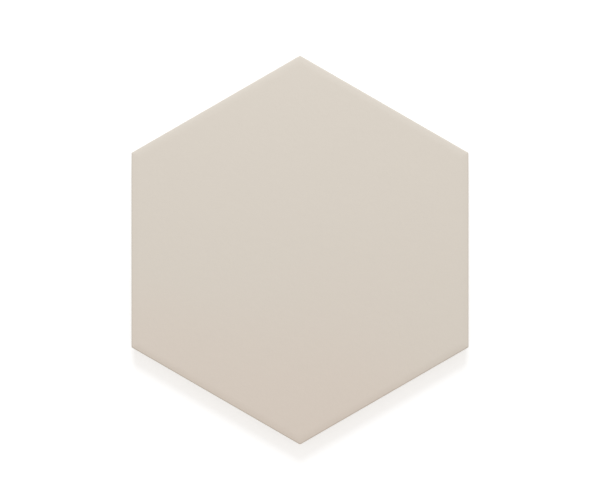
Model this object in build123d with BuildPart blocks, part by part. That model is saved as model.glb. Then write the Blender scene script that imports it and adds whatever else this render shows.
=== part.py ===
from build123d import *
import os
from math import atan, cos, degrees, radians, sin, tan

# Hexagon floor tile, dust-pressed and fired as one piece, lying face up on its back.
# Millimetres, +Z up. The origin is the middle of the back; two corners lie on the Y axis, two sides face X.

# Outline
across_corners = 200.0
thickness = 9.0

# Edge, from the flat of the face outwards and down
cushion_width = 3.5
cushion_drop = 0.32
nose_radius = 0.8
wall_draft = 2.0
foot_chamfer = 0.6

# Keyed back: a honeycomb of shallow pockets that the bedding mortar grips
key_rings = 4
key_rib = 4.0
key_border = 7.0
key_depth = 0.8
key_draft = 20.0

# The cushion is an arc that leaves the face level and meets the nose at this slope
half_flats = across_corners / 2 * cos(radians(30))
cushion_fall = degrees(2 * atan(cushion_drop / cushion_width))
cushion_radius = cushion_width / sin(radians(cushion_fall))
cushion_end = half_flats - nose_radius * (1 - sin(radians(cushion_fall)))

# The wall starts where the nose is widest and leans in down to the foot, as it left the die
wall_top = thickness - cushion_drop - nose_radius * cos(radians(cushion_fall))
wall_foot = half_flats - (wall_top - foot_chamfer) * tan(radians(wall_draft))
back_half = wall_foot - foot_chamfer

# Pockets in rings about a middle one fill the back up to its border, with even ribs between them.
# They stand in columns along Y, with a corner of each towards the border on the X side.
column_share = cos(radians(30))
corner_share = 1 / (2 * cos(radians(30)))
pocket_room = back_half - key_border
key_pitch = (pocket_room + key_rib * corner_share) / (key_rings * column_share + corner_share)
pocket_corner = (key_pitch - key_rib) * corner_share


def key_centres():
    """Centres of the pockets, column by column: the middle column is the longest."""
    centres = []
    for column in range(-key_rings, key_rings + 1):
        count = 2 * key_rings + 1 - abs(column)
        for place in range(count):
            centres.append((column * key_pitch * column_share, (place - (count - 1) / 2) * key_pitch))
    return centres


# The section across two opposite sides makes a bar. Three such bars, turned by 60 degrees, share just the
# tile, so neighbouring edges meet in true mitres at the six corners.
with BuildPart() as hexagon_tile:
    for turn in (0, 60, 120):
        with BuildSketch(Plane.XZ.rotated((0, 0, turn))):
            with BuildLine():
                face = Line((0, thickness), (cushion_end - cushion_width, thickness))
                cushion = JernArc(face @ 1, face % 1, cushion_radius, -cushion_fall)
                nose = JernArc(cushion @ 1, cushion % 1, nose_radius, cushion_fall - 90)
                wall = Line(nose @ 1, (wall_foot, foot_chamfer))
                foot = Line(wall @ 1, (back_half, 0))
                back = Line(foot @ 1, (0, 0))
                Line(back @ 1, face @ 0)
            make_face()
            mirror(about=Plane.YZ)
        extrude(amount=across_corners, both=True, mode=Mode.ADD if turn == 0 else Mode.INTERSECT)

    # Pockets in the back, narrowing towards their floors
    with BuildSketch(Plane.XY):
        with Locations(*key_centres()):
            RegularPolygon(pocket_corner, 6)
    extrude(amount=key_depth, taper=key_draft, mode=Mode.SUBTRACT)

hexagon_tile.part.label = "hexagon_tile"

os.makedirs("parts", exist_ok=True)
export_step(hexagon_tile.part, "parts/hexagon_tile.step")
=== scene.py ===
"""Finished look of a hexagon floor tile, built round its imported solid.

The tile is one fired piece. Its face and arris carry a matt greige glaze that runs a little way down
the wall, and the rest of the wall and the keyed back are bare biscuit. Lengths are metres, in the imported
part's frame.
"""

import logging
import math
from dataclasses import dataclass
from enum import Enum
from typing import Any

import bpy
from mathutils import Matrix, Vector

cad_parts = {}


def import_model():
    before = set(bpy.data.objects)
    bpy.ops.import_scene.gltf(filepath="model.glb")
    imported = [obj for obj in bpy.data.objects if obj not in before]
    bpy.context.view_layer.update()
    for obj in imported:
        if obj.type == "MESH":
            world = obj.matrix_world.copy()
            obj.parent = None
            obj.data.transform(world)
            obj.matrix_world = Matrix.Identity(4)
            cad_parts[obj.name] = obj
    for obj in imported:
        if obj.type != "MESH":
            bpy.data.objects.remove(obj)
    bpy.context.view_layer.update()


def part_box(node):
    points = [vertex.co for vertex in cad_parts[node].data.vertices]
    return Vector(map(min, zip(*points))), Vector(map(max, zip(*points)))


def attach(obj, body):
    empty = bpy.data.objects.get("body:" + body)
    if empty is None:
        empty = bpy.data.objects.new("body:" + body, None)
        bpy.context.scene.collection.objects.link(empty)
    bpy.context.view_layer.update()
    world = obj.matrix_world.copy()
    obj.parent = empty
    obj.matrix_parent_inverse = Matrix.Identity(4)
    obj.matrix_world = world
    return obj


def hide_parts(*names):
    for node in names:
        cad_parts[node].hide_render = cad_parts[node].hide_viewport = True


log = logging.getLogger("hexagon_tile")

MM = 0.001
# Points of a mesh that lie closer than this are one
SEAM = 0.005 * MM
SIDES = 6
# Half of what the outline turns by at a corner
HALF_CORNER = math.pi / SIDES
UPRIGHT = math.pi / 2
# How far noise about zero swings to either side
NOISE_PEAK = 0.5
# Attribute that tells the glaze how thick the coat is, from 0 where there is none to 1
GLAZE_DEPTH = "glaze_depth"
Colour = tuple[float, float, float]
Place = tuple[float, float, float]


class Domain(Enum):
    """What a value of a mesh is kept on."""

    POINT = "POINT"
    EDGE = "EDGE"
    FACE = "FACE"


@dataclass(frozen=True)
class Wire:
    """An output socket that takes part in Python arithmetic.

    Each operator adds a Math node to the tree that the socket belongs to.
    """

    canvas: "Canvas"
    socket: bpy.types.NodeSocket

    def __add__(self, other: "Value") -> "Wire":
        """Sum of this value and another."""
        return self.canvas.maths("ADD", self, other)

    def __radd__(self, other: float) -> "Wire":
        """Sum of a number and this value."""
        return self.canvas.maths("ADD", other, self)

    def __sub__(self, other: "Value") -> "Wire":
        """This value less another."""
        return self.canvas.maths("SUBTRACT", self, other)

    def __rsub__(self, other: float) -> "Wire":
        """A number less this value."""
        return self.canvas.maths("SUBTRACT", other, self)

    def __mul__(self, other: "Value") -> "Wire":
        """Product of this value and another."""
        return self.canvas.maths("MULTIPLY", self, other)

    def __rmul__(self, other: float) -> "Wire":
        """Product of a number and this value."""
        return self.canvas.maths("MULTIPLY", other, self)

    def __truediv__(self, other: "Value") -> "Wire":
        """This value divided by another."""
        return self.canvas.maths("DIVIDE", self, other)

    def __rtruediv__(self, other: float) -> "Wire":
        """A number divided by this value."""
        return self.canvas.maths("DIVIDE", other, self)

    def __neg__(self) -> "Wire":
        """This value with its sign turned."""
        return self.canvas.maths("MULTIPLY", self, -1.0)

    def __abs__(self) -> "Wire":
        """This value without its sign."""
        return self.canvas.maths("ABSOLUTE", self)

    def beside(self, name: str) -> "Wire":
        """Another output of the node that this one comes from."""
        return Wire(self.canvas, self.socket.node.outputs[name])


Value = Wire | float


class Canvas:
    """A node tree that is drawn up one node at a time."""

    def __init__(self, tree: bpy.types.NodeTree) -> None:
        """Starts on a tree.

        Args:
            tree: The tree that the nodes go into.
        """
        self.tree = tree

    def node(
        self,
        kind: str,
        settings: dict[str, Any] | None = None,
        inputs: dict[str | int, Any] | None = None,
    ) -> bpy.types.Node:
        """Adds one node.

        Args:
            kind: The node's type.
            settings: The node's own options, which are set before its sockets.
            inputs: A value, a Wire or a list of Wires for each input socket, by name or place.

        Returns:
            The node.
        """
        node = self.tree.nodes.new(kind)
        for name, value in (settings or {}).items():
            setattr(node, name, value)
        for key, value in (inputs or {}).items():
            self.feed(self.socket(node.inputs, key), value)
        return node

    def add(
        self,
        kind: str,
        settings: dict[str, Any] | None = None,
        inputs: dict[str | int, Any] | None = None,
        output: str | int = 0,
    ) -> Wire:
        """Adds one node for the sake of an output.

        Args:
            kind: The node's type.
            settings: The node's own options.
            inputs: What each input socket gets.
            output: The output socket to hand back, by name or place.

        Returns:
            The chosen output.
        """
        node = self.node(kind, settings, inputs)
        return Wire(self, self.socket(node.outputs, output))

    def feed(self, socket: bpy.types.NodeSocket, value: Any) -> None:
        """Links a socket to a Wire or to each of a list of Wires, or sets it to a plain value.

        Args:
            socket: The input socket.
            value: What it gets.
        """
        if isinstance(value, list):
            for wire in value:
                self.feed(socket, wire)
        elif isinstance(value, Wire):
            self.tree.links.new(value.socket, socket)
        else:
            socket.default_value = value

    @staticmethod
    def socket(sockets: Any, key: str | int) -> bpy.types.NodeSocket:
        """Finds a socket of a node.

        Args:
            sockets: The node's inputs or outputs.
            key: The socket's place among them, or its name, which may stand on idle sockets too.

        Returns:
            The socket.
        """
        if isinstance(key, int):
            return sockets[key]
        return next(socket for socket in sockets if socket.enabled and socket.name == key)

    def maths(self, operation: str, *values: Value) -> Wire:
        """Adds a Math node for an operation on one or two values."""
        return self.add("ShaderNodeMath", {"operation": operation}, dict(enumerate(values)))

    def xyz(self, x: Value, y: Value, z: Value) -> Wire:
        """Joins three values into a vector."""
        return self.add("ShaderNodeCombineXYZ", None, {"X": x, "Y": y, "Z": z})

    def ramp(self, value: Wire, start: Value, end: Value, smooth: bool = False) -> Wire:
        """A value's way from a start, where the result is 0, to an end, where it is 1, held beyond both.

        Args:
            value: The value that is placed.
            start: Where the result is 0.
            end: Where the result is 1.
            smooth: Whether the result eases in and out.

        Returns:
            The share of the way, from 0 to 1.
        """
        easing = "SMOOTHSTEP" if smooth else "LINEAR"
        places = {"Value": value, "From Min": start, "From Max": end}
        return self.add("ShaderNodeMapRange", {"interpolation_type": easing, "clamp": True}, places)

    def noise(self, place: Wire, grain: float, detail: float = 2.0) -> Wire:
        """Soft noise about zero.

        Args:
            place: The coordinates that it is read at.
            grain: The size of its blotches.
            detail: How many finer layers it has.

        Returns:
            Values from about -0.5 to 0.5.
        """
        sockets = {"Vector": place, "Scale": 1 / grain, "Detail": detail}
        return self.add("ShaderNodeTexNoise", None, sockets, "Fac") - NOISE_PEAK

    def mixed(self, share: Wire, first: Wire | Colour, second: Wire | Colour) -> Wire:
        """Mixes two colours.

        Args:
            share: The second colour's share, from 0 to 1.
            first: The first colour.
            second: The second colour.

        Returns:
            The mixed colour.
        """
        ends = {"A": first, "B": second}
        inputs = {key: end if isinstance(end, Wire) else (*end, 1.0) for key, end in ends.items()}
        return self.add("ShaderNodeMix", {"data_type": "RGBA"}, {"Factor": share, **inputs}, "Result")


class FinishTree(Canvas):
    """A material's nodes, about one Principled shader."""

    def __init__(self, name: str) -> None:
        """Starts a material.

        Args:
            name: The material's name.
        """
        self.material = bpy.data.materials.new(name)
        self.material.use_nodes = True
        super().__init__(self.material.node_tree)
        self.shader = self.tree.nodes["Principled BSDF"]

    def toned(self, colour: Wire | Colour, tone: Value) -> Wire:
        """A colour made lighter or darker."""
        return self.add("ShaderNodeVectorMath", {"operation": "SCALE"}, {0: colour, "Scale": tone})

    def raised(self, relief: Wire) -> Wire:
        """A normal that shows a relief, given in metres."""
        return self.add("ShaderNodeBump", None, {"Strength": 1.0, "Distance": 1.0, "Height": relief})

    def dressed(self, sockets: dict[str, Any]) -> bpy.types.Material:
        """Sets or links the shader's sockets.

        Args:
            sockets: A value or a Wire for each socket.

        Returns:
            The finished material.
        """
        for name, value in sockets.items():
            self.feed(self.shader.inputs[name], value)
        return self.material


class FormTree(Canvas):
    """A Geometry Nodes tree with named inputs, which makes one plain mesh."""

    def __init__(
        self, name: str, sizes: dict[str, float], finishes: dict[str, bpy.types.Material]
    ) -> None:
        """Starts a tree.

        Args:
            name: The tree's name.
            sizes: A named input for each size, with its value.
            finishes: A named input for each material, with the material.
        """
        super().__init__(bpy.data.node_groups.new(name, "GeometryNodeTree"))
        self.values: dict[str, Any] = {}
        interface = self.tree.interface
        for kind, entries in (("NodeSocketFloat", sizes), ("NodeSocketMaterial", finishes)):
            for label, value in entries.items():
                socket = interface.new_socket(label, in_out="INPUT", socket_type=kind)
                self.values[socket.identifier] = value
        interface.new_socket("Mesh", in_out="OUTPUT", socket_type="NodeSocketGeometry")
        self.entry = self.node("NodeGroupInput")

    def given(self, name: str) -> Wire:
        """The named input of the tree."""
        return Wire(self, self.entry.outputs[name])

    def placed(self, mesh: Wire, x: Value, y: Value, z: Value) -> Wire:
        """A mesh with its points set to new places."""
        inputs = {"Geometry": mesh, "Position": self.xyz(x, y, z)}
        return self.add("GeometryNodeSetPosition", None, inputs)

    def sewn(self, pieces: list[Wire]) -> Wire:
        """Joins meshes where their points meet.

        Args:
            pieces: The meshes, or instances of them.

        Returns:
            One plain mesh.
        """
        joined = self.add("GeometryNodeJoinGeometry", None, {"Geometry": pieces})
        real = self.add("GeometryNodeRealizeInstances", None, {"Geometry": joined})
        return self.add("GeometryNodeMergeByDistance", None, {"Geometry": real, "Distance": SEAM})

    def open_edge(self, mesh: Wire, ceiling: float) -> Wire:
        """The open edge of a mesh, as a curve.

        Args:
            mesh: The mesh.
            ceiling: The height that the edge lies below.

        Returns:
            The curve.
        """
        faces = self.add("GeometryNodeInputMeshEdgeNeighbors")
        place = self.add("GeometryNodeInputPosition")
        height = self.add("ShaderNodeSeparateXYZ", None, {"Vector": place}, "Z")
        # An edge inside the mesh has two faces
        chosen = self.maths("LESS_THAN", faces, 2) * self.maths("LESS_THAN", height, ceiling)
        return self.add("GeometryNodeMeshToCurve", None, {"Mesh": mesh, "Selection": chosen})

    def facing_down(self, mesh: Wire) -> Wire:
        """A mesh with its faces turned over."""
        return self.add("GeometryNodeFlipFaces", None, {"Mesh": mesh})

    def made(self, name: str, geometry: Wire) -> bpy.types.Object:
        """Runs the tree once and keeps its result as a plain mesh.

        Args:
            name: The new object's name.
            geometry: What the tree hands out.

        Returns:
            The object, at the origin, with no modifier left on it.
        """
        self.node("NodeGroupOutput", None, {"Mesh": geometry})
        piece = bpy.data.objects.new(name, bpy.data.meshes.new(name))
        bpy.context.scene.collection.objects.link(piece)
        modifier = piece.modifiers.new(name, "NODES")
        modifier.node_group = self.tree
        for identifier, value in self.values.items():
            modifier[identifier] = value
        graph = bpy.context.evaluated_depsgraph_get()
        mesh = bpy.data.meshes.new_from_object(
            piece.evaluated_get(graph), preserve_all_data_layers=True, depsgraph=graph
        )
        piece.modifiers.remove(modifier)
        # Mesh primitives bring an empty first slot along
        mesh.materials.pop(index=0)
        piece.data = mesh
        return piece


class HexagonTurning:
    """A surface made by carrying a section round a regular hexagon with two sides across X.

    The section is drawn in steps that start from a given reach and height. Each step takes some rows of
    the surface, and its sizes come in over those rows.
    """

    def __init__(self, tree: FormTree, straight: int, rounded: int, reach: Value, height: Value) -> None:
        """Starts the section.

        Args:
            tree: The tree that the surface is made in.
            straight: Columns of faces along each side.
            rounded: Columns of faces in each half of a corner.
            reach: How far out from the middle the section starts.
            height: The height that it starts at.
        """
        self.tree = tree
        self.straight = straight
        self.rounded = rounded
        self.side_columns = straight + 2 * rounded
        self.columns = SIDES * self.side_columns
        self.rows = 0
        index = tree.add("GeometryNodeInputIndex")
        self.row = tree.maths("FLOOR", index / (self.columns + 1))
        self.column = index - self.row * (self.columns + 1)
        self.reach = reach
        self.height = height

    def step(self, rows: int) -> Wire:
        """Takes the next rows of the surface for a step.

        Args:
            rows: Rows of faces along it.

        Returns:
            How far each row is through it: 0 up to its start and 1 from its end on.
        """
        start = self.rows
        self.rows += rows
        return self.tree.ramp(self.row, start, self.rows)

    def line(self, rows: int, outwards: Value, upwards: Value) -> Wire:
        """Adds a straight run to the section.

        Args:
            rows: Rows of faces along it.
            outwards: How far it goes out.
            upwards: How far it goes up.

        Returns:
            How far each row is through it.
        """
        passed = self.step(rows)
        self.reach = passed * outwards + self.reach
        self.height = passed * upwards + self.height
        return passed

    def arc(self, rows: int, radius: Value, start: float, end: float) -> Wire:
        """Adds an arc to the section.

        Args:
            rows: Rows of faces along it.
            radius: Its radius, negative where it is hollow.
            start: Its slope below level where it begins, in radians.
            end: Its slope below level where it ends.

        Returns:
            How far each row is through it.
        """
        passed = self.step(rows)
        slope = passed * (end - start) + start
        self.reach = (self.tree.maths("SINE", slope) - math.sin(start)) * radius + self.reach
        self.height = (self.tree.maths("COSINE", slope) - math.cos(start)) * radius + self.height
        return passed

    def plan(self, reach: Value, bend: Value) -> tuple[Wire, Wire]:
        """Where each column stands on a hexagon with rounded corners.

        Args:
            reach: From the middle to each side.
            bend: The radius of the corners.

        Returns:
            The columns' X and Y.
        """
        maths = self.tree.maths
        side = maths("FLOOR", self.column / self.side_columns)
        place = self.column - side * self.side_columns - self.side_columns / 2
        half_run = self.straight / 2
        along = maths("MAXIMUM", maths("MINIMUM", place, half_run), -half_run)
        turn = (place - along) * (HALF_CORNER / self.rounded)
        core = reach - bend
        out = maths("COSINE", turn) * bend + core
        across = along * core * (math.tan(HALF_CORNER) / half_run) + maths("SINE", turn) * bend
        facing = side * (2 * HALF_CORNER)
        cosine = maths("COSINE", facing)
        sine = maths("SINE", facing)
        return out * cosine - across * sine, out * sine + across * cosine

    def surface(self, bend: Value) -> Wire:
        """Makes the surface from the finished section.

        Args:
            bend: The radius of the corners at each row.

        Returns:
            A mesh whose first and last columns meet.
        """
        counts = {"Vertices X": self.rows + 1, "Vertices Y": self.columns + 1}
        grid = self.tree.add("GeometryNodeMeshGrid", None, counts)
        return self.tree.placed(grid, *self.plan(self.reach, bend), self.height)


class HexagonLattice:
    """Evenly spread points that fill a hexagon with two corners on Y, in rings about a middle one."""

    def __init__(self, tree: FormTree, rings: int, pitch: Value) -> None:
        """Places the points.

        Args:
            tree: The tree that the points are made in.
            rings: Rings of points about the middle one.
            pitch: The distance between neighbours.
        """
        self.tree = tree
        self.rings = rings
        self.count = 2 * rings + 1
        index = tree.add("GeometryNodeInputIndex")
        column = tree.maths("FLOOR", index / self.count)
        across = column - rings
        along = index - column * self.count - rings
        straight = tree.maths("MAXIMUM", abs(across), abs(along))
        self.ring = tree.maths("MAXIMUM", straight, abs(across + along))
        self.x = across * pitch * math.cos(HALF_CORNER)
        self.y = (across / 2 + along) * pitch

    def sheet(self, height: Value) -> Wire:
        """Joins the points into a sheet of even triangles.

        Args:
            height: The height of each point.

        Returns:
            The sheet, which faces up.
        """
        counts = {"Vertices X": self.count, "Vertices Y": self.count}
        grid = self.tree.add("GeometryNodeMeshGrid", None, counts)
        spread = self.tree.placed(grid, self.x, self.y, height)
        shortest = {"quad_method": "SHORTEST_DIAGONAL"}
        woven = self.tree.add("GeometryNodeTriangulate", shortest, {"Mesh": spread})
        outside = self.tree.maths("GREATER_THAN", self.ring, self.rings)
        points = {"domain": Domain.POINT.value}
        cut = {"Geometry": woven, "Selection": outside}
        return self.tree.add("GeometryNodeDeleteGeometry", points, cut)


@dataclass(frozen=True)
class Glaze:
    """Matt greige glaze of the face, with a painted warm shade on its -Y side, and the mottle and orange
    peel of a sprayed coat.
    """

    # Colour of the full coat, of the painted shade on its -Y side, which is warmer and a little darker,
    # and of its thin edge, which is a little darker too
    colour: Colour = (0.674, 0.615, 0.541)
    painted_shade_colour: Colour = (0.679, 0.598, 0.522)
    thin_colour: Colour = (0.670, 0.608, 0.530)
    # Broad cloud of painted shade in the warmer, darker colour, moved so that it lies on the -Y side of
    # the face, away from the light
    cloud: float = 340 * MM
    cloud_place: Place = (-0.91, -4.87, 0.09)
    cloud_start: float = -0.02
    cloud_full: float = 0.15
    # Tone
    mottle: float = 7 * MM
    mottle_swing: float = 0.020
    speckle: float = 0.7 * MM
    speckle_swing: float = 0.045
    # Sheen
    roughness: float = 0.72
    roughness_swing: float = 0.14
    gloss: float = 0.38
    # Orange peel, and the fine tooth of a matt glaze
    peel: float = 3.2 * MM
    peel_height: float = 0.055 * MM
    tooth: float = 0.45 * MM
    tooth_height: float = 0.010 * MM

    def material(self) -> bpy.types.Material:
        """Mixes the glaze.

        Returns:
            Its material.
        """
        tree = FinishTree("greige_glaze")
        place = tree.add("ShaderNodeTexCoord", output="Object")
        depth = tree.add("ShaderNodeAttribute", {"attribute_name": GLAZE_DEPTH}, output="Fac")
        mottle = tree.noise(place, self.mottle, detail=4.0)
        # Painted shade: a warmer, darker colour laid over the -Y side of the face, the side away from the
        # light
        moved = tree.add("ShaderNodeMapping", None, {"Vector": place, "Location": self.cloud_place})
        painted_shade = tree.ramp(tree.noise(moved, self.cloud), self.cloud_start, self.cloud_full, smooth=True)
        coat = tree.mixed(painted_shade, self.colour, self.painted_shade_colour)
        speckle = tree.noise(place, self.speckle, detail=3.0) * self.speckle_swing
        tone = 1 + mottle * self.mottle_swing + speckle
        peel = tree.noise(place, self.peel) * self.peel_height
        tooth = tree.noise(place, self.tooth, detail=3.0) * self.tooth_height
        return tree.dressed(
            {
                "Base Color": tree.toned(tree.mixed(depth, self.thin_colour, coat), tone),
                "Roughness": self.roughness + mottle * self.roughness_swing,
                "Specular IOR Level": self.gloss,
                "Normal": tree.raised(peel + tooth),
            }
        )


@dataclass(frozen=True)
class Biscuit:
    """Bare fired body of the wall and back.

    It shows pressed granules, specks and pores, drag lines of the die on the wall, a mist of glaze below
    the coat and a wash on the lands that it was fired on.
    """

    # Body, with its granules and broad patches
    colour: Colour = (0.708, 0.630, 0.530)
    roughness: float = 0.86
    granule: float = 0.5 * MM
    granule_swing: float = 0.16
    granule_height: float = 0.03 * MM
    patch: float = 12 * MM
    patch_swing: float = 0.07
    # Specks, each of them a shallow pore
    speck: float = 0.30 * MM
    speck_start: float = 0.20
    speck_full: float = 0.30
    speck_shade: float = 0.16
    pore_depth: float = 0.02 * MM
    # Drag lines, many times as long as they are wide, and the heights over which they set in
    drag: float = 0.8 * MM
    drag_length: float = 14.0
    drag_swing: float = 0.09
    drag_height: float = 0.03 * MM
    wall_start: float = 0.7 * MM
    wall_full: float = 1.4 * MM
    # Mist of stray glaze, from where it ends on the wall up to where it is thickest
    mist_colour: Colour = (0.700, 0.636, 0.560)
    mist_drop: float = 0.8 * MM
    mist_foot: float = 2.0 * MM
    mist_top: float = 6.5 * MM
    mist_reach: float = 0.30
    mist_start: float = 0.22
    mist_full: float = 0.28
    # Wash on the lands, and how far it reaches up into the pockets
    wash_colour: Colour = (0.800, 0.770, 0.715)
    wash_patch: float = 5 * MM
    wash_bare: float = -0.12
    wash_full: float = 0.16
    wash_top: float = 0.25 * MM

    def material(self) -> bpy.types.Material:
        """Mixes the biscuit.

        Returns:
            Its material.
        """
        tree = FinishTree("pale_biscuit")
        place = tree.add("ShaderNodeTexCoord", output="Object")
        height = tree.add("ShaderNodeSeparateXYZ", None, {"Vector": place}, "Z")
        granules = tree.noise(place, self.granule, detail=3.0)
        patches = tree.noise(place, self.patch, detail=3.0)
        spots = tree.noise(place, self.speck, detail=0.0)
        specks = tree.ramp(spots, self.speck_start, self.speck_full)
        drag = self.drag_lines(tree, place, height)
        tone = 1 + granules * self.granule_swing + patches * self.patch_swing + drag * self.drag_swing
        body = tree.toned(self.colour, tone - specks * self.speck_shade)
        misted = tree.mixed(self.mist(tree, place, height), body, self.mist_colour)
        relief = granules * self.granule_height + drag * self.drag_height - specks * self.pore_depth
        return tree.dressed(
            {
                "Base Color": tree.mixed(self.wash(tree, place, height), misted, self.wash_colour),
                "Roughness": self.roughness,
                "Normal": tree.raised(relief),
            }
        )

    def drag_lines(self, tree: FinishTree, place: Wire, height: Wire) -> Wire:
        """Upright lines that the die left on the wall.

        Args:
            tree: The finish's tree.
            place: Where on the tile.
            height: How far up.

        Returns:
            Values about zero, and zero on the back.
        """
        stretch = {"Vector": place, "Scale": (1.0, 1.0, 1 / self.drag_length)}
        drawn = tree.add("ShaderNodeMapping", None, stretch)
        on_wall = tree.ramp(height, self.wall_start, self.wall_full, smooth=True)
        return tree.noise(drawn, self.drag, detail=4.0) * on_wall

    def mist(self, tree: FinishTree, place: Wire, height: Wire) -> Wire:
        """Drops of stray glaze, which thin out down the wall.

        Args:
            tree: The finish's tree.
            place: Where on the tile.
            height: How far up.

        Returns:
            The share of the surface that they cover.
        """
        thickness = tree.ramp(height, self.mist_foot, self.mist_top) * self.mist_reach
        drops = tree.noise(place, self.mist_drop, detail=1.0) + thickness
        return tree.ramp(drops, self.mist_start, self.mist_full)

    def wash(self, tree: FinishTree, place: Wire, height: Wire) -> Wire:
        """Pale wash that is smeared on the lands of the back.

        Args:
            tree: The finish's tree.
            place: Where on the tile.
            height: How far up.

        Returns:
            How much of it there is.
        """
        smears = tree.noise(place, self.wash_patch, detail=5.0)
        smeared = tree.ramp(smears, self.wash_bare, self.wash_full, smooth=True)
        return (1 - tree.ramp(height, 0.0, self.wash_top)) * smeared


def seen(canvas: Canvas) -> Wire:
    """1 for what the camera sees, straight on, in a gloss or through glass, and 0 for other light.

    Args:
        canvas: The tree that asks.

    Returns:
        The mask.
    """
    straight = canvas.add("ShaderNodeLightPath", output="Is Camera Ray")
    in_gloss = straight.beside("Is Glossy Ray")
    through = straight.beside("Is Transmission Ray")
    return canvas.maths("MAXIMUM", canvas.maths("MAXIMUM", straight, in_gloss), through)


@dataclass(frozen=True)
class Sweep:
    """White floor that shows a soft shadow about the tile and thins out to plain white."""

    albedo: float = 0.65
    glow: float = 0.50
    # Distances from the middle
    whole_to: float = 0.22
    gone_by: float = 0.40

    def material(self) -> bpy.types.Material:
        """Mixes the floor's white.

        Returns:
            Its material.
        """
        tree = FinishTree("white_sweep")
        place = tree.add("ShaderNodeTexCoord", output="Object")
        away = tree.add("ShaderNodeVectorMath", {"operation": "LENGTH"}, {0: place}, "Value")
        glow = seen(tree) * self.glow
        return tree.dressed(
            {
                "Base Color": (self.albedo, self.albedo, self.albedo, 1.0),
                "Roughness": 1.0,
                "Specular IOR Level": 0.0,
                "Alpha": 1 - tree.ramp(away, self.whole_to, self.gone_by, smooth=True),
                "Emission Color": tree.xyz(glow, glow, glow),
                "Emission Strength": 1.0,
            }
        )


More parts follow.
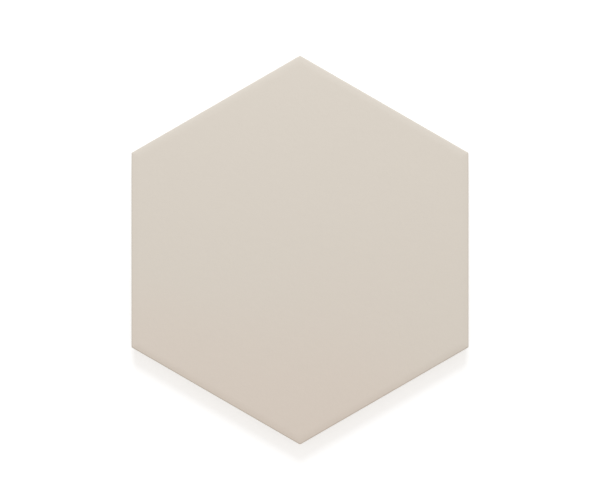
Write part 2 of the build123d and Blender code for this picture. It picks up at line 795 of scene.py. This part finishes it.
@dataclass
class Tile:
    """The tile: a cushioned, glazed hexagon with a drafted wall and a keyed back."""

    # Outline
    half_flats: float
    thickness: float
    # Edge, from the flat of the face outwards and down
    cushion_width: float = 3.5 * MM
    cushion_drop: float = 0.32 * MM
    nose_radius: float = 0.8 * MM
    corner_radius: float = 0.8 * MM
    wall_draft: float = math.radians(2.0)
    foot_radius: float = 0.6 * MM
    foot_margin: float = 0.5 * MM
    # Waves of the face
    face_wave: float = 24 * MM
    face_wave_height: float = 0.05 * MM
    # Lower edge of the glaze on the wall, and how the coat thins towards it
    glaze_line: float = 6.0 * MM
    glaze_wave: float = 34 * MM
    glaze_wave_height: float = 3.0 * MM
    glaze_scallop: float = 8 * MM
    glaze_scallop_height: float = 1.6 * MM
    glaze_drip: float = 15 * MM
    glaze_drip_start: float = 0.08
    glaze_drip_full: float = 0.24
    glaze_drip_height: float = 1.5 * MM
    lip_step: float = 0.10 * MM
    lip_tuck: float = math.radians(60.0)
    arris_glaze: float = 0.55
    lip_glaze: float = 0.8
    least_glaze: float = 0.01
    # Keyed back
    key_rings: int = 4
    key_rib: float = 4.0 * MM
    key_border: float = 7.0 * MM
    key_depth: float = 0.8 * MM
    key_draft: float = math.radians(20.0)
    key_corner: float = 1.2 * MM
    key_floor_radius: float = 0.35 * MM
    key_rim_radius: float = 0.5 * MM
    key_margin: float = 0.2 * MM
    # Fineness of the mesh
    face_rings: int = 80
    face_calm_rings: int = 16
    corner_columns: int = 4
    cushion_rows: int = 12
    nose_rows: int = 8
    wall_rows: int = 9
    lip_rows: int = 4
    foot_rows: int = 6
    key_side_columns: int = 1
    key_corner_columns: int = 2
    key_flat_rows: int = 2
    key_round_rows: int = 3
    # Edges that turn by more than this are shaded sharp
    crease: float = math.radians(32.0)
    # Settles the waves of the face and the lower edge of the glaze
    seed: float = 3.0

    @property
    def fall(self) -> float:
        """Slope below level at which the cushion meets the nose."""
        return 2 * math.atan(self.cushion_drop / self.cushion_width)

    @property
    def flat_reach(self) -> float:
        """From the middle of the face to where the cushion starts."""
        return self.half_flats - self.nose_radius * (1 - math.sin(self.fall)) - self.cushion_width

    @property
    def wall_top(self) -> float:
        """Height at which the nose ends and the wall starts."""
        return self.thickness - self.cushion_drop - self.nose_radius * math.cos(self.fall)

    @property
    def back_reach(self) -> float:
        """From the middle of the back to the edge of its flat."""
        wall_foot = self.half_flats - (self.wall_top - self.foot_radius) * math.tan(self.wall_draft)
        return wall_foot - self.foot_radius

    @property
    def key_pitch(self) -> float:
        """Spreads the pockets over the back, up to its border.

        Returns:
            The distance between neighbouring pockets.
        """
        corner = 0.5 / math.cos(HALF_CORNER)
        room = self.back_reach - self.key_border + self.key_rib * corner
        return room / (self.key_rings * math.cos(HALF_CORNER) + corner)

    def build(self, glaze: bpy.types.Material, biscuit: bpy.types.Material) -> bpy.types.Object:
        """Makes the whole tile as one closed mesh.

        Args:
            glaze: The face's finish.
            biscuit: The finish of the wall and the back.

        Returns:
            The finished piece.
        """
        sizes = {
            "Half flats": self.half_flats,
            "Flat reach": self.flat_reach,
            "Thickness": self.thickness,
            "Cushion width": self.cushion_width,
            "Nose radius": self.nose_radius,
            "Corner radius": self.corner_radius,
            "Foot radius": self.foot_radius,
            "Glaze line": self.glaze_line,
            "Lip step": self.lip_step,
            "Pocket pitch": self.key_pitch,
            "Pocket rib": self.key_rib,
            "Pocket depth": self.key_depth,
            "Seed": self.seed,
        }
        tree = FormTree("hexagon_tile_form", sizes, {"Glaze": glaze, "Biscuit": biscuit})
        edge = self.edge(tree)
        keys = self.keys(tree)
        whole = tree.sewn([self.face(tree), edge, keys, self.border(tree, edge, keys)])
        return tree.made("floor_tile", self.coated(tree, whole))

    def face(self, tree: FormTree) -> Wire:
        """The flat of the face, which lies in very faint waves as a fired coat does.

        Args:
            tree: The tile's tree.

        Returns:
            A sheet up to where the cushion starts, level at its edge.
        """
        pitch = tree.given("Flat reach") / (math.cos(HALF_CORNER) * self.face_rings)
        lattice = HexagonLattice(tree, self.face_rings, pitch)
        place = tree.xyz(lattice.x, lattice.y, tree.given("Seed"))
        # Crests reach the tile's full height and hollows lie below it
        wave = tree.noise(place, self.face_wave) - NOISE_PEAK
        calm_start = self.face_rings - self.face_calm_rings
        calm = tree.ramp(lattice.ring, self.face_rings, calm_start, smooth=True)
        sheet = lattice.sheet(wave * calm * self.face_wave_height + tree.given("Thickness"))
        return self.with_glaze(tree, sheet, 1.0)

    def edge(self, tree: FormTree) -> Wire:
        """Carries the tile's edge round it: cushion, nose, glazed wall and lip, bare wall and foot.

        Args:
            tree: The tile's tree.

        Returns:
            A band from the flat of the face to the flat of the back.
        """
        corner = tree.given("Corner radius")
        foot = tree.given("Foot radius")
        start = tree.given("Flat reach"), tree.given("Thickness")
        turning = HexagonTurning(tree, self.face_rings, self.corner_columns, *start)
        cushion_radius = tree.given("Cushion width") / math.sin(self.fall)
        rolled = turning.arc(self.cushion_rows, cushion_radius, 0.0, self.fall)
        nosed = turning.arc(self.nose_rows, tree.given("Nose radius"), self.fall, UPRIGHT)
        run = self.run_height(tree, turning.plan(tree.given("Half flats"), corner))
        lowered = turning.line(self.wall_rows, 0.0, run - self.wall_top)
        # The lip tucks in and turns down again, in two like arcs, to the wall that leans in below it
        drafted = UPRIGHT + self.wall_draft
        tucked = UPRIGHT + self.lip_tuck
        lip = (self.wall_top - run) * math.tan(self.wall_draft) + tree.given("Lip step")
        lip_radius = lip / (1 + math.sin(drafted) - 2 * math.sin(tucked))
        lip_drop = lip_radius * (math.cos(drafted) - 2 * math.cos(tucked))
        turning.arc(self.lip_rows, lip_radius, UPRIGHT, tucked)
        ended = turning.arc(self.lip_rows, -lip_radius, tucked, drafted)
        bare = run - lip_drop - foot * (1 + math.cos(drafted))
        turning.line(self.wall_rows, bare * -math.tan(self.wall_draft), -bare)
        turning.arc(self.foot_rows, foot, drafted, math.pi)
        # A narrow strip beside the foot keeps the shading of the back level
        turning.line(1, -self.foot_margin, 0.0)
        band = tree.sewn([turning.surface(rolled * corner)])
        thinned = 1 - nosed * (1 - self.arris_glaze) + lowered * (self.lip_glaze - self.arris_glaze)
        return self.with_glaze(tree, band, thinned * (1 - ended))

    def run_height(self, tree: FormTree, rim: tuple[Wire, Wire]) -> Wire:
        """Height of the glaze's lower edge, which wanders and drips as a sprayed coat runs.

        Args:
            tree: The tile's tree.
            rim: Places along the tile's rim.

        Returns:
            The height at each place.
        """
        place = tree.xyz(*rim, tree.given("Seed"))
        wave = tree.noise(place, self.glaze_wave) * self.glaze_wave_height
        scallop = tree.noise(place, self.glaze_scallop) * self.glaze_scallop_height
        runs = tree.noise(place, self.glaze_drip)
        drip = tree.ramp(runs, self.glaze_drip_start, self.glaze_drip_full, smooth=True)
        return tree.given("Glaze line") + wave + scallop - drip * self.glaze_drip_height

    @staticmethod
    def with_glaze(tree: FormTree, mesh: Wire, depth: Value) -> Wire:
        """Keeps the depth of the glaze, as a share of the full coat, on a mesh's points.

        Args:
            tree: The tile's tree.
            mesh: The mesh.
            depth: The share at each point.

        Returns:
            The mesh with its glaze.
        """
        numbers = {"data_type": "FLOAT", "domain": Domain.POINT.value}
        inputs = {"Geometry": mesh, "Name": GLAZE_DEPTH, "Value": depth}
        return tree.add("GeometryNodeStoreNamedAttribute", numbers, inputs)

    def keys(self, tree: FormTree) -> Wire:
        """The honeycomb of pockets in the back, with the lands between them.

        Args:
            tree: The tile's tree.

        Returns:
            One sheet that faces down.
        """
        lattice = HexagonLattice(tree, self.key_rings, tree.given("Pocket pitch"))
        inputs = {"Points": lattice.sheet(0.0), "Instance": self.pocket(tree)}
        turned = {"Rotation": (0.0, 0.0, HALF_CORNER)}
        cells = tree.add("GeometryNodeInstanceOnPoints", None, {**inputs, **turned})
        return tree.facing_down(tree.sewn([cells]))

    def pocket(self, tree: FormTree) -> Wire:
        """One pocket with its half of the lands about it.

        Args:
            tree: The tile's tree.

        Returns:
            A hexagon sheet whose sides are shared with the next pockets.
        """
        depth = tree.given("Pocket depth")
        pitch = tree.given("Pocket pitch")
        wide = (pitch - tree.given("Pocket rib")) / 2
        slope = UPRIGHT - self.key_draft
        floor_edge = self.key_floor_radius * math.tan(slope / 2)
        rim_edge = self.key_rim_radius * math.tan(slope / 2)
        side_drop = depth - (self.key_floor_radius + self.key_rim_radius) * (1 - math.cos(slope))
        floor = wide - depth * math.tan(self.key_draft) - floor_edge
        land = tree.given("Pocket rib") / 2 - rim_edge
        turning = HexagonTurning(tree, self.key_side_columns, self.key_corner_columns, 0.0, depth)
        # A narrow strip beside each rounding keeps the shading of the flats level
        turning.line(self.key_flat_rows, floor - self.key_margin, 0.0)
        turning.line(1, self.key_margin, 0.0)
        turning.arc(self.key_round_rows, self.key_floor_radius, 0.0, slope)
        turning.line(1, side_drop * math.tan(self.key_draft), -side_drop)
        turning.arc(self.key_round_rows, -self.key_rim_radius, slope, 0.0)
        turning.line(1, self.key_margin, 0.0)
        shared = turning.line(self.key_flat_rows, land - self.key_margin, 0.0)
        bend = tree.maths("MINIMUM", (1 - shared) * self.key_corner, turning.reach)
        return turning.surface(bend)

    def border(self, tree: FormTree, edge: Wire, keys: Wire) -> Wire:
        """The flat of the back between the outermost pockets and the foot.

        Args:
            tree: The tile's tree.
            edge: The band that ends in the foot.
            keys: The honeycomb.

        Returns:
            A sheet that faces down.
        """
        curves = [tree.open_edge(mesh, self.foot_radius / 2) for mesh in (edge, keys)]
        outlines = tree.add("GeometryNodeJoinGeometry", None, {"Geometry": curves})
        return tree.facing_down(tree.add("GeometryNodeFillCurve", None, {"Curve": outlines}))

    def coated(self, tree: FormTree, geometry: Wire) -> Wire:
        """Shades the mesh smooth up to its creases and gives it its two finishes.

        Args:
            tree: The tile's tree.
            geometry: The whole tile.

        Returns:
            The finished geometry.
        """
        faces = {"domain": Domain.FACE.value}
        smooth = tree.add("GeometryNodeSetShadeSmooth", faces, {"Geometry": geometry})
        angle = tree.add("GeometryNodeInputMeshEdgeAngle", output="Unsigned Angle")
        creased = {"Geometry": smooth, "Selection": tree.maths("GREATER_THAN", angle, self.crease)}
        edges = {"domain": Domain.EDGE.value}
        edged = tree.add("GeometryNodeSetShadeSmooth", edges, {**creased, "Shade Smooth": False})
        real = tree.add("GeometryNodeRealizeInstances", None, {"Geometry": edged})
        body = {"Geometry": real, "Material": tree.given("Biscuit")}
        bare = tree.add("GeometryNodeSetMaterial", None, body)
        depth = tree.add("GeometryNodeInputNamedAttribute", None, {"Name": GLAZE_DEPTH}, "Attribute")
        coat = {"Geometry": bare, "Selection": tree.maths("GREATER_THAN", depth, self.least_glaze)}
        return tree.add("GeometryNodeSetMaterial", None, {**coat, "Material": tree.given("Glaze")})


@dataclass
class Studio:
    """White sweep, soft light from the top of the frame, and a camera that looks straight down."""

    # Floor and room
    floor_size: float = 1.2
    ambient: Colour = (0.69, 0.66, 0.63)
    background: Colour = (1.0, 1.0, 1.0)
    # Soft light, with its power in watts
    key_place: Place = (0.0, 1.08, 0.81)
    key_size: float = 0.60
    key_colour: Colour = (0.91, 1.0, 1.09)
    key_power: float = 10.2
    # Camera, with its lens and sensor in millimetres, and the width that it sees at the tile's face
    lens: float = 100.0
    sensor: float = 36.0
    picture_width: float = 0.308

    def floor(self) -> bpy.types.Object:
        """Lays the floor, which takes the tile's shadow.

        Returns:
            The floor.
        """
        half = self.floor_size / 2
        mesh = bpy.data.meshes.new("studio_floor")
        corners = [(-half, -half, 0.0), (half, -half, 0.0), (half, half, 0.0), (-half, half, 0.0)]
        mesh.from_pydata(corners, [], [(0, 1, 2, 3)])
        mesh.materials.append(Sweep().material())
        floor = self.placed("studio_floor", mesh)
        return floor

    def world(self) -> None:
        """Fills the room with even light, and shows white behind the tile."""
        world = bpy.data.worlds.new("studio")
        world.use_nodes = True
        canvas = Canvas(world.node_tree)
        colour = canvas.mixed(seen(canvas), self.ambient, self.background)
        canvas.feed(world.node_tree.nodes["Background"].inputs["Color"], colour)
        bpy.context.scene.world = world

    def key(self) -> bpy.types.Object:
        """Hangs the soft light, aimed at the tile.

        Returns:
            The light.
        """
        data = bpy.data.lights.new("soft_key", "AREA")
        data.shape = "DISK"
        data.size = self.key_size
        data.energy = self.key_power
        data.color = self.key_colour
        light = self.placed("soft_key", data)
        light.location = self.key_place
        light.rotation_euler = Vector(self.key_place).to_track_quat("Z", "Y").to_euler()
        light.visible_camera = False
        return light

    def camera(self, height: float) -> bpy.types.Object:
        """Sets the camera over the tile.

        Args:
            height: Height of the tile's face.

        Returns:
            The camera.
        """
        data = bpy.data.cameras.new("overhead")
        data.lens = self.lens
        data.sensor_width = self.sensor
        camera = self.placed("overhead", data)
        camera.location = (0.0, 0.0, height + self.picture_width * self.lens / self.sensor)
        bpy.context.scene.camera = camera
        return camera

    @staticmethod
    def placed(name: str, data: bpy.types.ID) -> bpy.types.Object:
        """Puts a mesh, light or camera into the scene.

        Args:
            name: The object's name.
            data: The mesh, light or camera.

        Returns:
            The object.
        """
        item = bpy.data.objects.new(name, data)
        bpy.context.scene.collection.objects.link(item)
        return item


def main() -> None:
    """Builds the tile and the studio, and reports each piece."""
    logging.basicConfig(level=logging.INFO, format="%(name)s: %(message)s")
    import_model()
    low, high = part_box("hexagon_tile")
    bpy.context.scene.view_settings.view_transform = "Standard"
    tile = Tile(half_flats=(high.x - low.x) / 2, thickness=high.z - low.z)
    piece = tile.build(Glaze().material(), Biscuit().material())
    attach(piece, "root")
    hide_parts("hexagon_tile")
    log.info("%s: %d points, %d faces", piece.name, len(piece.data.vertices), len(piece.data.polygons))
    studio = Studio()
    studio.world()
    for part in (studio.floor(), studio.key(), studio.camera(high.z)):
        log.info("%s is in place", part.name)


if __name__ == "__main__":
    main()
